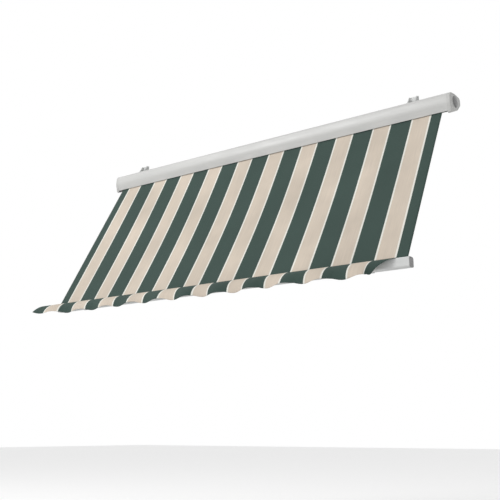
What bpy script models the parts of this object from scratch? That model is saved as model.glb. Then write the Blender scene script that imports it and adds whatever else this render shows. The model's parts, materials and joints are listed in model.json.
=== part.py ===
"""A folding arm awning in its cassette, opened, in metres.

The origin lies on the wall plane, midway along the awning and level with the pitch pivots. X runs
along the wall, Y into the wall and Z up. Four empties carry the pieces: the pitch axis, the lip
line of the hood in level axes, the slope plane through that line, and the groove line of the
front bar. The arms turn on empties of their own, each on its pivot.
"""
from math import acos, asin, atan2, cos, degrees, hypot, pi, radians, sin, tan

import bmesh
import bpy
from mathutils import Vector
from mathutils.geometry import tessellate_polygon

# Driving sizes of the whole awning
COVER_WIDTH = 2.90
SLOPE = 60.0
STRIPE_PAIR = 0.29
DARK_SHARE = 0.515
CLOTH = 0.0006
SAG = 0.016
GAP = 0.0003
OVERCUT = 0.003
ARC_STEPS = 4

# The wall, the pitch pivot and the lip line
LIP_OUT = 0.200
LIP_DROP = 0.175
PIVOT_OUT = 0.050
PITCH_DOWN = 15.0
PITCH_UP = 20.0

# The hood and its end caps, in level axes from the lip line
HOOD_LENGTH = 2.982
HOOD_WALL = 0.003
LIP_POINT = (-0.010, -0.004)
BELLY = (-0.0262, 0.050)
BELLY_RADIUS = 0.100
BROW = (-0.0205, 0.1215)
BROW_RADIUS = 0.035
CROWN = (0.060, 0.1320)
CROWN_RADIUS = 0.200
BACK_TOP = (0.1500, 0.1290)
BACK_RADIUS = 0.030
BACK_FOOT = (0.1520, 0.0900)
FLOOR_LEVEL = -0.0720
FLOOR_FRONT = 0.0860
FLOOR_REAR = 0.1400
SEAM_RADIUS = 0.005
CHANNEL_RADIUS = 0.0050
CHANNEL_BORE = 0.0021
CHANNEL_SINK = 0.0015
CAP_THICKNESS = 0.027
CAP_EDGE = 0.009
CAP_WALL = 0.004
CAP_POCKET = 0.016
CAP_NOSE = (-0.0085, -0.0215)
CAP_BEND = (0.105, 0.030)
CAP_HEEL = (0.152, 0.076)
CAP_NOSE_RADIUS = 0.012
CAP_BEND_RADIUS = 0.030
PANEL_INSET = 0.0105
PANEL_DEPTH = 0.0012

# The roller, its motor and its bearing
ROLLER_UP = 0.122
TUBE_RADIUS = 0.0305
TUBE_WALL = 0.002
TUBE_OVERHANG = 0.015
WRAP_TURN = 200.0
MOTOR_RADIUS = 0.0225
MOTOR_LENGTH = 0.52
MOTOR_HEAD_RADIUS = 0.0245
MOTOR_HEAD = 0.010
SHAFT_RADIUS = 0.006
SHAFT_LENGTH = 0.020
CROWN_WIDTH = 0.015
WHEEL_WIDTH = 0.015
PLUG_DEPTH = 0.030
FLANGE = 0.003
BUSH_RADIUS = 0.009
BUSH_LENGTH = 0.011
BOSS_WALL = 0.005

# The arms, level with each other under the cover
SHOULDER_INSET = 0.261
SHOULDER_UP = 0.048
ARM_LEVEL = -0.038
ARM_LENGTH = 0.680
OPEN_ANGLE = 66.227
ARM_WIDTH = 0.028
ARM_HEIGHT = 0.030
ARM_WALL = 0.003
ARM_CORNER = 0.0035
ARM_PARTING = 0.001
KNUCKLE_RADIUS = 0.016
ELBOW_RADIUS = 0.015
NECK = 0.030
COLLAR = 0.012
SPIGOT = 0.040
EAR = 0.008
PIN_RADIUS = 0.005
PIN_PLAY = 0.00035
OPEN_PIVOT_PLAY = 0.0010
PIN_HEAD_RADIUS = 0.008
PIN_HEAD = 0.003
PIN_TIP = 0.002
SIDE_PLAY = 0.0005
SPRING_RADIUS = 0.008
SPRING_LENGTH = 0.30
SPRING_TURNS = 20
WIRE_GROOVE = 0.0012

# The shoulder and wrist brackets
BRACKET_EAR = 0.007
BRACKET_HEAD_RADIUS = 0.017
SHOULDER_WEB = 0.009
SHOULDER_FOOT = 0.008
SHOULDER_OUTER = 0.035
SHOULDER_INNER = 0.022
WRIST_REACH = 0.044
WRIST_HALF_WIDTH = 0.020
WRIST_SADDLE = 0.0155
BOLT_RADIUS = 0.004
BOLT_HEAD_RADIUS = 0.0065
BOLT_HEAD = 0.004

# The front bar, in level axes from the groove line of the cover
BAR_LENGTH = 2.922
BAR_DEPTH = 0.050
BAR_HEIGHT = 0.060
BAR_NOSE = 0.0155
BAR_WALL = 0.0025
BAR_TOP_RADIUS = 0.015
BAR_FRONT_RADIUS = 0.004
BAR_LOW_RADIUS = 0.012
BAR_CAP = 0.004
BAR_PLUG = 0.008
GROOVE_RADIUS = 0.0032
GROOVE_DEPTH = 0.0058
GROOVE_MOUTH = 0.0010
VALANCE_GROOVE = 0.0092
WELT_RADIUS = 0.0027

# The valance, slid to the left in its groove
VALANCE_LEFT = -1.590
VALANCE_RIGHT = 1.389
VALANCE_DROP = 0.130
SCALLOP = 0.2636
SCALLOP_START = 0.119
SCALLOP_RISE = 0.014
FLARE_START = 12.0
FLARE_END = 86.0
FLUTTER = 9.0
TAPER = 0.103

# The wall brackets and the tilt lugs between their ears
BRACKET_PLACES = {"left": -1.38, "right": 1.17}
PLATE_WIDTH = 0.072
PLATE = 0.008
PLATE_TOP = 0.070
PLATE_FOOT = -0.075
WALL_HOLE_RADIUS = 0.0055
WALL_HOLE_INSET = 0.014
WALL_EAR = 0.006
WALL_HEAD_RADIUS = 0.018
EAR_ROUND = (100.0, 190.0)
SECTOR_RADIUS = 0.0475
SECTOR_BELOW = 20.0
SECTOR_ABOVE = 30.0
LUG_WIDTH = 0.047
LUG_HEAD_RADIUS = 0.016
LOCK_THROW = 0.036
LOCK_LEAN = 5.0
LOCK_RADIUS = 0.004
LOCK_BOSS = 0.011
LUG_TOE = 0.006
LUG_TOE_REACH = 0.050

# Worked out from the sizes above
SIDES = {"left": -1, "right": 1}
COVER_HALF = COVER_WIDTH / 2
HOOD_HALF = HOOD_LENGTH / 2
TUBE_HALF = COVER_HALF + TUBE_OVERHANG
BAR_HALF = BAR_LENGTH / 2
CAP_INNER = HOOD_HALF + GAP
TUBE_BORE = TUBE_RADIUS - TUBE_WALL
ROLLER_LEVEL = -(TUBE_RADIUS + GAP + CLOTH / 2 + GAP)
WRAP_RADIUS = -ROLLER_LEVEL
SHOULDER_SPREAD = BAR_HALF - SHOULDER_INSET
WRIST_UP = SHOULDER_UP - 2 * ARM_LENGTH * sin(radians(OPEN_ANGLE))
GROOVE_UP = WRIST_UP - WRIST_REACH
HALF_HEIGHT = ARM_HEIGHT / 2
BAR_BACK = BAR_DEPTH - BAR_NOSE
PIN_HOLE = PIN_RADIUS + PIN_PLAY
CASTING_END = NECK + COLLAR
PROFILE_END = CASTING_END + GAP
EAR_TOP = HALF_HEIGHT + SIDE_PLAY + BRACKET_EAR
EAR_UNDER = HALF_HEIGHT + SIDE_PLAY
WELT_TOP = WELT_RADIUS - GROOVE_DEPTH + GAP * 2
COVER_MOUTH = ((0.0023, 0.0040), (0.0004, 0.0008), (0.0, WELT_TOP))
VALANCE_ROOT = ((0.0, WELT_TOP), (0.0, 0.0006), (-0.0012, 0.0022))


def material(name, colour, roughness, metallic):
    """A plain surface with a colour, a roughness and a metallic value."""
    made = bpy.data.materials.new(name)
    made.use_nodes = True
    made.diffuse_color = (*colour, 1)
    shader = made.node_tree.nodes["Principled BSDF"]
    shader.inputs["Base Color"].default_value = (*colour, 1)
    shader.inputs["Roughness"].default_value = roughness
    shader.inputs["Metallic"].default_value = metallic
    return made


def slope_to_level(up, out):
    """A place in the slope plane's axes, in the level axes of the same line."""
    tilt = radians(SLOPE)
    return (up * cos(tilt) - out * sin(tilt), up * sin(tilt) + out * cos(tilt))


def level_to_slope(back, rise):
    """A place in level axes, in the slope plane's axes of the same line."""
    tilt = radians(SLOPE)
    return (back * cos(tilt) + rise * sin(tilt), -back * sin(tilt) + rise * cos(tilt))


def arc(centre, radius, start, end, steps):
    """Points along an arc between two angles in degrees."""
    turns = [radians(start + (end - start) * i / steps) for i in range(steps + 1)]
    return [(centre[0] + radius * cos(turn), centre[1] + radius * sin(turn)) for turn in turns]


def circle(centre, radius, sides=16):
    """Points round a circle, the first one not repeated."""
    return arc(centre, radius, 0, 360, sides)[:-1]


def tangent_angle(point, radius, side):
    """The angle at which a line from a point touches a circle about the origin."""
    return degrees(atan2(point[1], point[0]) + side * acos(radius / hypot(*point)))


def rounded(corners, closed=True, steps=ARC_STEPS):
    """An outline whose corners, each with its radius, are turned into arcs."""
    outline = []
    for i, (across, along, radius) in enumerate(corners):
        corner = Vector((across, along))
        at_end = not closed and i in (0, len(corners) - 1)
        if at_end or radius == 0:
            outline.append(tuple(corner))
            continue
        back = (Vector(corners[i - 1][:2]) - corner).normalized()
        ahead = (Vector(corners[(i + 1) % len(corners)][:2]) - corner).normalized()
        half = back.angle(ahead) / 2
        centre = corner + (back + ahead).normalized() * radius / sin(half)
        start = (corner + back * radius / tan(half) - centre).normalized()
        end = (corner + ahead * radius / tan(half) - centre).normalized()
        for step in range(steps + 1):
            outline.append(tuple(centre + start.slerp(end, step / steps) * radius))
    return outline


def shifted(points, distance, closed=True):
    """A path moved to the right of its travel, which is outwards when it runs anticlockwise."""
    moved = []
    for i, point in enumerate(points):
        here = Vector(point)
        before = here - Vector(points[i - 1])
        after = Vector(points[(i + 1) % len(points)]) - here
        if not closed and i == 0:
            before = after
        if not closed and i == len(points) - 1:
            after = before
        side_before = Vector((before.y, -before.x)).normalized()
        side_after = Vector((after.y, -after.x)).normalized()
        side = (side_before + side_after).normalized()
        moved.append(tuple(here + side * distance / side.dot(side_before)))
    return moved


def placed(across, along, height, axis):
    """A section's point set at a height along one of the three axes."""
    if axis == "X":
        return (height, across, along)
    if axis == "Y":
        return (across, height, along)
    return (across, along, height)


def prism(loops, low, high, axis="X"):
    """A bar of constant section: an outline, and any holes after it, swept along an axis."""
    bm = bmesh.new()
    ends = []
    for height in (low, high):
        ends.append([bm.verts.new(placed(*point, height, axis)) for loop in loops for point in loop])
    faces = tessellate_polygon([[Vector((*point, 0)) for point in loop] for loop in loops])
    for end in ends:
        for face in faces:
            bm.faces.new([end[i] for i in face])
    first = 0
    for loop in loops:
        for i in range(len(loop)):
            here = first + i
            after = first + (i + 1) % len(loop)
            bm.faces.new((ends[0][here], ends[0][after], ends[1][after], ends[1][here]))
        first += len(loop)
    bmesh.ops.recalc_face_normals(bm, faces=bm.faces)
    return bm


def loft(rings):
    """A solid drawn through rings of points, closed at both ends."""
    bm = bmesh.new()
    rows = [[bm.verts.new(point) for point in ring] for ring in rings]
    for row, after in zip(rows, rows[1:]):
        for i in range(len(row)):
            j = (i + 1) % len(row)
            bm.faces.new((row[i], row[j], after[j], after[i]))
    bm.faces.new(rows[0])
    bm.faces.new(rows[-1])
    bmesh.ops.recalc_face_normals(bm, faces=bm.faces)
    return bm


def turned(profile, axis="X", centre=(0, 0), sides=16):
    """A turned solid from its radii and heights along an axis."""
    rings = []
    for radius, height in profile:
        rings.append([placed(*point, height, axis) for point in circle(centre, radius, sides)])
    return loft(rings)


def combined(base, tool, operation):
    """One solid joined to, cut by or kept inside another."""
    objects = []
    for bm in (base, tool):
        mesh = bpy.data.meshes.new("blank")
        bm.to_mesh(mesh)
        bm.free()
        objects.append(bpy.data.objects.new("blank", mesh))
        bpy.context.scene.collection.objects.link(objects[-1])
    modifier = objects[0].modifiers.new("combine", "BOOLEAN")
    modifier.solver = "EXACT"
    modifier.operation = operation
    modifier.object = objects[1]
    result = bmesh.new()
    result.from_object(objects[0], bpy.context.evaluated_depsgraph_get())
    for blank in objects:
        mesh = blank.data
        bpy.data.objects.remove(blank)
        bpy.data.meshes.remove(mesh)
    bmesh.ops.dissolve_degenerate(result, edges=result.edges, dist=1e-6)
    return result


def add(name, bm, parent, *materials):
    """A named object made from a mesh, smooth but for its sharp edges, carried by an empty."""
    mesh = bpy.data.meshes.new(name)
    bm.to_mesh(mesh)
    bm.free()
    for surface in materials:
        mesh.materials.append(surface)
    mesh.shade_smooth()
    mesh.set_sharp_from_angle(angle=radians(35))
    piece = bpy.data.objects.new(name, mesh)
    bpy.context.scene.collection.objects.link(piece)
    piece.parent = parent
    return piece


def add_empty(name, place, turn, parent):
    """An empty at a place, turned about X and then Z in degrees, in its parent's axes."""
    empty = bpy.data.objects.new(name, None)
    bpy.context.scene.collection.objects.link(empty)
    empty.parent = parent
    empty.location = place
    empty.rotation_euler = [radians(angle) for angle in turn]
    return empty


def cap_outline():
    """The end caps' outline: the hood's front, top and back, closed by a slanting bottom."""
    return rounded([
        (*CAP_NOSE, CAP_NOSE_RADIUS),
        (*CAP_BEND, CAP_BEND_RADIUS),
        (*CAP_HEEL, CAP_NOSE_RADIUS),
        (*BACK_TOP, BACK_RADIUS),
        (*CROWN, CROWN_RADIUS),
        (*BROW, BROW_RADIUS),
        (*BELLY, BELLY_RADIUS),
    ])


def hood_path():
    """The hood's outer face, from the front of its floor round the back and top to the lip."""
    return rounded([
        (*slope_to_level(FLOOR_FRONT, FLOOR_LEVEL), 0),
        (*slope_to_level(FLOOR_REAR, FLOOR_LEVEL), SEAM_RADIUS),
        (*BACK_FOOT, SEAM_RADIUS),
        (*BACK_TOP, BACK_RADIUS),
        (*CROWN, CROWN_RADIUS),
        (*BROW, BROW_RADIUS),
        (*BELLY, BELLY_RADIUS),
        (*LIP_POINT, 0),
    ], closed=False)


def screw_channels():
    """The centres of the hood's screw channels, inside its foot, back and brow corners."""
    reach = HOOD_WALL + CHANNEL_RADIUS - CHANNEL_SINK
    inside = shifted(hood_path(), -reach, closed=False)
    points_per_corner = ARC_STEPS + 1
    corners = {"foot": 2, "back": 3, "brow": 5}
    return [inside[number * points_per_corner - ARC_STEPS // 2] for number in corners.values()]


def make_hood(parent, paint):
    """The rolled hood, open at its mouth, with screw channels along its inner face."""
    outer = hood_path()
    inner = shifted(outer, -HOOD_WALL, closed=False)
    shell = prism([outer + inner[::-1]], -HOOD_HALF, HOOD_HALF)
    channel_half = HOOD_HALF - CHANNEL_RADIUS
    for centre in screw_channels():
        rings = [circle(centre, CHANNEL_RADIUS, 12), circle(centre, CHANNEL_BORE, 8)]
        shell = combined(shell, prism(rings, -channel_half, channel_half), "UNION")
    add("hood", shell, parent, paint)


def make_end_cap(side, parent, paint):
    """A cast end cap with a rounded rim, a sunk panel outside and a pocket round its boss inside."""
    sign = SIDES[side]
    outline = cap_outline()
    centre = slope_to_level(ROLLER_UP, ROLLER_LEVEL)
    seat = BUSH_RADIUS + GAP if side == "left" else SHAFT_RADIUS
    boss = seat + BOSS_WALL
    outer_face = CAP_INNER + CAP_THICKNESS
    rings = [[(sign * CAP_INNER, *point) for point in outline]]
    for step in range(5):
        turn = radians(90 * step / 4)
        inset = CAP_EDGE * (1 - cos(turn))
        depth = outer_face - CAP_EDGE * (1 - sin(turn))
        rings.append([(sign * depth, *point) for point in shifted(outline, -inset)])
    shell = loft(rings)
    pocket = [shifted(outline, -CAP_WALL), circle(centre, boss)]
    hollow = prism(pocket, sign * (CAP_INNER - OVERCUT), sign * (CAP_INNER + CAP_POCKET))
    shell = combined(shell, hollow, "DIFFERENCE")
    bore_end = CAP_INNER + BUSH_LENGTH + GAP * 2
    bore = prism([circle(centre, seat)], sign * (CAP_INNER - OVERCUT), sign * bore_end)
    shell = combined(shell, bore, "DIFFERENCE")
    panel = [shifted(outline, -PANEL_INSET)]
    recess = prism(panel, sign * (outer_face - PANEL_DEPTH), sign * (outer_face + OVERCUT))
    shell = combined(shell, recess, "DIFFERENCE")
    add(f"end_cap_{side}", shell, parent, paint)


def make_roller(parent, metal, plastic):
    """The roller tube with its idler plug, drive wheel and motor crown, all about the roller's axis."""
    tube = [circle((0, 0), TUBE_RADIUS, 32), circle((0, 0), TUBE_BORE, 32)]
    add("roller_tube", prism(tube, -TUBE_HALF, TUBE_HALF), parent, metal)
    fit = TUBE_BORE - GAP
    end = -TUBE_HALF
    pin_end = -(CAP_INNER + BUSH_LENGTH - GAP)
    plug = [
        (fit, end + PLUG_DEPTH), (fit, end - GAP), (TUBE_RADIUS, end - GAP),
        (TUBE_RADIUS, end - FLANGE), (SHAFT_RADIUS, end - FLANGE), (SHAFT_RADIUS, pin_end),
    ]
    add("idler_plug", turned(plug, sides=24), parent, plastic)
    wheel_end = CAP_INNER - MOTOR_HEAD - MOTOR_LENGTH - GAP * 3
    wheel = [circle((0, 0), fit, 24), circle((0, 0), SHAFT_RADIUS + GAP, 16)]
    add("drive_wheel", prism(wheel, wheel_end - WHEEL_WIDTH, wheel_end), parent, plastic)
    crown = [circle((0, 0), fit, 24), circle((0, 0), MOTOR_RADIUS + GAP, 24)]
    add("motor_crown", prism(crown, TUBE_HALF - CROWN_WIDTH, TUBE_HALF), parent, plastic)


def make_motor(parent, metal):
    """The tubular motor: its head against the right end cap, its body and shaft inside the roller."""
    head = CAP_INNER - GAP
    shoulder = head - MOTOR_HEAD
    body_end = shoulder - MOTOR_LENGTH
    motor = [
        (SHAFT_RADIUS - GAP, head + BUSH_LENGTH), (SHAFT_RADIUS - GAP, head),
        (MOTOR_HEAD_RADIUS, head), (MOTOR_HEAD_RADIUS, shoulder),
        (MOTOR_RADIUS, shoulder), (MOTOR_RADIUS, body_end),
        (SHAFT_RADIUS, body_end), (SHAFT_RADIUS, body_end - SHAFT_LENGTH),
    ]
    add("tubular_motor", turned(motor, sides=24), parent, metal)


def make_bush(parent, plastic):
    """The idler's bush in the left end cap."""
    rings = [circle((0, 0), BUSH_RADIUS), circle((0, 0), SHAFT_RADIUS + GAP)]
    add("idler_bush", prism(rings, -(CAP_INNER + BUSH_LENGTH), -CAP_INNER), parent, plastic)


def cover_path():
    """The middle line of the cover in the slope plane: round the roller, down the slope, into its groove."""
    path = arc((ROLLER_UP, ROLLER_LEVEL), WRAP_RADIUS, 90 - WRAP_TURN, 90, 12)
    runs = 14
    last_up = level_to_slope(*COVER_MOUTH[0])[0]
    for i in range(1, runs):
        path.append((ROLLER_UP + (GROOVE_UP + last_up - ROLLER_UP) * i / runs, 0))
    for back, rise in COVER_MOUTH:
        up, out = level_to_slope(back, rise)
        path.append((GROOVE_UP + up, out))
    return path


def stripe_edges(low, high, shift):
    """The places where the stripes change colour across a cloth, with its two ends."""
    dark = STRIPE_PAIR * DARK_SHARE
    edges = [low, high]
    for k in range(-8, 9):
        for edge in (k * STRIPE_PAIR + shift - dark / 2, k * STRIPE_PAIR + shift + dark / 2):
            if low < edge < high:
                edges.append(edge)
    return sorted(edges)


def is_dark(across, shift):
    """Whether a place across a cloth lies in a dark stripe."""
    from_middle = (across - shift) / STRIPE_PAIR
    return abs(from_middle - round(from_middle)) < DARK_SHARE / 2


def sheet(columns, path_of, shift):
    """A thin closed cloth: a path for every column, given thickness both ways, in striped faces."""
    bm = bmesh.new()
    half = CLOTH / 2
    rows = []
    for across in columns:
        path = path_of(across)
        sides = []
        for distance in (half, -half):
            lines = shifted([point[1:] for point in path], distance, closed=False)
            sides.append([bm.verts.new((point[0], *line)) for point, line in zip(path, lines)])
        rows.append(sides[0] + sides[1][::-1])
    for i, (row, after) in enumerate(zip(rows, rows[1:])):
        middle = (columns[i] + columns[i + 1]) / 2
        for j in range(len(row)):
            k = (j + 1) % len(row)
            face = bm.faces.new((row[j], row[k], after[k], after[j]))
            face.material_index = 1 if is_dark(middle, shift) else 0
    for row in (rows[0], rows[-1]):
        half_count = len(row) // 2
        for j in range(half_count - 1):
            bm.faces.new((row[j], row[j + 1], row[-2 - j], row[-1 - j]))
    bmesh.ops.triangulate(bm, faces=bm.faces)
    bmesh.ops.recalc_face_normals(bm, faces=bm.faces)
    return bm


def make_cover(parent, light, dark):
    """The striped cover, wound on the roller and stretched to the front bar with a slight sag."""
    middle_line = cover_path()

    def path_of(across):
        fullness = 1 - (across / COVER_HALF) ** 2
        path = []
        for up, out in middle_line:
            along = min(1, max(0, up / GROOVE_UP))
            path.append((across, up, out - SAG * fullness * sin(pi * along)))
        return path

    add("cover", sheet(stripe_edges(-COVER_HALF, COVER_HALF, 0), path_of, 0), parent, light, dark)


def end_plan(radius, hole, sign):
    """The plan of an arm's end casting from its pivot: head, neck, collar and spigot."""
    low = ARM_PARTING
    high = ARM_PARTING + ARM_WIDTH
    fit = ARM_WALL + GAP
    upper = tangent_angle((NECK, high), radius, 1)
    lower = tangent_angle((NECK, low), radius, -1)
    tip = CASTING_END + SPIGOT
    outline = arc((0, 0), radius, upper, lower + 360, 14)
    outline += [(NECK, low), (CASTING_END, low), (CASTING_END, low + fit), (tip, low + fit)]
    outline += [(tip, high - fit), (CASTING_END, high - fit), (CASTING_END, high), (NECK, high)]
    loops = [outline, circle((0, 0), hole)]
    return [[(along, sign * across) for along, across in loop] for loop in loops]


def end_side(kind):
    """The side view of an arm's end casting: a full knuckle, a forked head or a tongue between ears."""
    full = HALF_HEIGHT
    thin = HALF_HEIGHT - EAR - GAP
    inner = HALF_HEIGHT - ARM_WALL - GAP
    start = -KNUCKLE_RADIUS * 2
    tip = CASTING_END + SPIGOT * 2
    upper = [(CASTING_END, full), (CASTING_END, inner), (tip, inner)]
    lower = [(along, -level) for along, level in upper[::-1]]
    if kind == "tongue":
        head = [(NECK, -full), (NECK, -thin), (start, -thin), (start, thin), (NECK, thin), (NECK, full)]
    elif kind == "fork":
        slot = HALF_HEIGHT - EAR
        head = [(start, -full), (start, -slot), (NECK, -slot), (NECK, slot), (start, slot), (start, full)]
    else:
        head = [(start, -full), (start, full)]
    return [head + upper + lower]


def make_arm_end(name, kind, radius, hole, sign, parent, metal):
    """An arm's end casting, kept from the crossing of its plan and its side view."""
    plan = prism(end_plan(radius, hole, sign), -ARM_HEIGHT, ARM_HEIGHT, "Z")
    side = prism(end_side(kind), -ARM_WIDTH * 2, ARM_WIDTH * 2, "Y")
    add(name, combined(plan, side, "INTERSECT"), parent, metal)


def make_profile(name, sign, parent, metal):
    """An arm's rectangular tube between its two castings, beside the line of its pivots."""
    low = ARM_PARTING
    high = ARM_PARTING + ARM_WIDTH
    corners = [(low, -HALF_HEIGHT), (high, -HALF_HEIGHT), (high, HALF_HEIGHT), (low, HALF_HEIGHT)]
    outer = rounded([(*corner, ARM_CORNER) for corner in corners], steps=3)
    inner = shifted(outer, -ARM_WALL)
    loops = [[(sign * across, level) for across, level in loop] for loop in (outer, inner)]
    add(name, prism(loops, PROFILE_END, ARM_LENGTH - PROFILE_END), parent, metal)


def make_pin(name, under, top, place, parent, metal):
    """A headed pin along Z, held by its head above and its turned tip below."""
    profile = [
        (PIN_HEAD_RADIUS, under - GAP - PIN_TIP), (PIN_HEAD_RADIUS, under - GAP),
        (PIN_RADIUS, under - GAP), (PIN_RADIUS, top + GAP),
        (PIN_HEAD_RADIUS, top + GAP), (PIN_HEAD_RADIUS, top + GAP + PIN_HEAD),
    ]
    add(name, turned(profile, "Z", place), parent, metal)


def make_spring(side, sign, parent, steel):
    """The closed tension spring in the forearm's tube, its turns touching, hooked to the elbow's casting."""
    across = sign * (ARM_PARTING + ARM_WIDTH / 2)
    start = CASTING_END + SPIGOT + GAP
    pitch = SPRING_LENGTH / SPRING_TURNS
    profile = [(SPRING_RADIUS - WIRE_GROOVE, start)]
    for turn in range(SPRING_TURNS):
        profile.append((SPRING_RADIUS, start + pitch * (turn + 0.5)))
        profile.append((SPRING_RADIUS - WIRE_GROOVE, start + pitch * (turn + 1)))
    add(f"tension_spring_{side}", turned(profile, centre=(across, 0), sides=10), parent, steel)
    cable_start = start + SPRING_LENGTH + GAP
    cable_end = ARM_LENGTH - CASTING_END - SPIGOT - GAP
    cable = [(PIN_TIP, cable_start), (PIN_TIP, cable_end)]
    add(f"tension_cable_{side}", turned(cable, centre=(across, 0), sides=8), parent, steel)


def make_arm(side, slope_plane, surfaces):
    """One folding arm: rear arm, elbow, forearm and wrist, each on its pivot's empty."""
    paint, metal, steel = surfaces
    sign = SIDES[side]
    shoulder_turn = -OPEN_ANGLE if side == "left" else 180 + OPEN_ANGLE
    place = (sign * SHOULDER_SPREAD, SHOULDER_UP, ARM_LEVEL)
    shoulder = add_empty(f"shoulder_axis_{side}", place, (0, 0, shoulder_turn), slope_plane)
    elbow_turn = -sign * (180 + 2 * OPEN_ANGLE)
    elbow = add_empty(f"elbow_axis_{side}", (ARM_LENGTH, 0, 0), (0, 0, elbow_turn), shoulder)
    hand = -sign
    make_arm_end(f"shoulder_knuckle_{side}", "knuckle", KNUCKLE_RADIUS, PIN_HOLE, hand, shoulder, metal)
    make_profile(f"rear_arm_{side}", hand, shoulder, paint)
    back_along = add_empty(f"rear_arm_end_{side}", (ARM_LENGTH, 0, 0), (0, 0, 180), shoulder)
    make_arm_end(f"elbow_fork_{side}", "fork", ELBOW_RADIUS, PIN_HOLE, -hand, back_along, metal)
    make_pin(f"elbow_pin_{side}", -HALF_HEIGHT, HALF_HEIGHT, (ARM_LENGTH, 0), shoulder, steel)
    make_arm_end(f"elbow_tongue_{side}", "tongue", ELBOW_RADIUS, PIN_HOLE, hand, elbow, metal)
    make_profile(f"forearm_{side}", hand, elbow, paint)
    wrist_end = add_empty(f"forearm_end_{side}", (ARM_LENGTH, 0, 0), (0, 0, 180), elbow)
    wrist_hole = PIN_RADIUS + (OPEN_PIVOT_PLAY if side == "right" else PIN_PLAY)
    make_arm_end(f"wrist_knuckle_{side}", "knuckle", KNUCKLE_RADIUS, wrist_hole, -hand, wrist_end, metal)
    make_spring(side, hand, elbow, steel)
    return elbow


def bracket_head(head_radius, base, low, high):
    """A bracket's plan about its pivot: a round head with sides that widen to its base."""
    low_touch = tangent_angle((low, base), head_radius, 1)
    high_touch = tangent_angle((high, base), head_radius, -1)
    return arc((0, 0), head_radius, low_touch, high_touch + 360, 12)


def make_shoulder_bracket(side, slope_plane, paint, steel):
    """A shoulder's fork, hung from the hood's floor by its foot, with its pin and its bolt."""
    sign = SIDES[side]
    top = ARM_LEVEL + EAR_TOP
    bottom = ARM_LEVEL - EAR_TOP
    web = FLOOR_FRONT - COLLAR / 8 - SHOULDER_WEB
    tip = SHOULDER_UP - BRACKET_HEAD_RADIUS * 2
    foot_top = FLOOR_LEVEL - GAP
    foot_low = foot_top - SHOULDER_FOOT
    section = [
        (tip, ARM_LEVEL + EAR_UNDER), (web, ARM_LEVEL + EAR_UNDER), (web, ARM_LEVEL - EAR_UNDER),
        (tip, ARM_LEVEL - EAR_UNDER), (tip, bottom), (web, bottom), (web, foot_low),
        (FLOOR_REAR * 2, foot_low), (FLOOR_REAR * 2, foot_top), (web + SHOULDER_WEB, foot_top),
        (web + SHOULDER_WEB, top), (tip, top),
    ]
    base = web - SHOULDER_UP
    head = bracket_head(BRACKET_HEAD_RADIUS, base, -SHOULDER_OUTER, SHOULDER_INNER)
    foot = FLOOR_REAR - SEAM_RADIUS - SHOULDER_UP
    plan = head + [(SHOULDER_INNER, base), (SHOULDER_INNER, foot)]
    plan += [(-SHOULDER_OUTER, foot), (-SHOULDER_OUTER, base)]
    bolt = (-SHOULDER_WEB, (web + SHOULDER_WEB + FLOOR_REAR) / 2 - SHOULDER_UP)
    loops = [plan, circle((0, 0), PIN_HOLE), circle(bolt, BOLT_RADIUS + GAP, 12)]
    centre = sign * SHOULDER_SPREAD
    loops = [[(centre - sign * across, SHOULDER_UP + up) for across, up in loop] for loop in loops]
    body = prism([section], centre - SHOULDER_OUTER * 2, centre + SHOULDER_OUTER * 2)
    upright = prism(loops, foot_low * 2, BOLT_HEAD, "Z")
    add(f"shoulder_bracket_{side}", combined(body, upright, "INTERSECT"), slope_plane, paint)
    pin_place = (centre, SHOULDER_UP)
    make_pin(f"shoulder_pin_{side}", bottom, top, pin_place, slope_plane, steel)
    bolt_place = (centre - sign * bolt[0], SHOULDER_UP + bolt[1])
    head_top = foot_low - GAP
    shank_top = FLOOR_LEVEL - GAP
    profile = [
        (BOLT_HEAD_RADIUS, head_top - BOLT_HEAD), (BOLT_HEAD_RADIUS, head_top),
        (BOLT_RADIUS, head_top), (BOLT_RADIUS, shank_top),
    ]
    add(f"shoulder_bolt_{side}", turned(profile, "Z", bolt_place, 12), slope_plane, steel)


def bar_outline():
    """The front bar's outline with its two keyhole grooves along the top, anticlockwise."""
    corners = [
        (-BAR_NOSE, 0, BAR_FRONT_RADIUS), (-BAR_NOSE, -BAR_HEIGHT, BAR_LOW_RADIUS),
        (BAR_BACK, -BAR_HEIGHT, BAR_LOW_RADIUS), (BAR_BACK, 0, BAR_TOP_RADIUS),
    ]
    outline = rounded(corners)
    half_mouth = degrees(asin(GROOVE_MOUTH / GROOVE_RADIUS))
    for centre in (0.0, -VALANCE_GROOVE):
        outline.append((centre + GROOVE_MOUTH, 0))
        outline += arc((centre, -GROOVE_DEPTH), GROOVE_RADIUS, 90 - half_mouth, half_mouth - 270, 10)
        outline.append((centre - GROOVE_MOUTH, 0))
    return outline


def bar_chamber():
    """The hollow inside the front bar, stepped down under the two grooves."""
    front = BAR_WALL - BAR_NOSE
    back = BAR_BACK - BAR_WALL
    low = BAR_WALL - BAR_HEIGHT
    under = -GROOVE_DEPTH - GROOVE_RADIUS - BAR_WALL
    step = GROOVE_RADIUS + BAR_WALL
    inner = BAR_LOW_RADIUS - BAR_WALL
    return rounded([
        (front, under, BAR_WALL / 2), (front, low, inner), (back, low, inner),
        (back, -BAR_WALL, BAR_TOP_RADIUS - BAR_WALL), (step, -BAR_WALL, BAR_WALL / 2),
        (step, under, BAR_WALL / 2),
    ])


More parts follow.
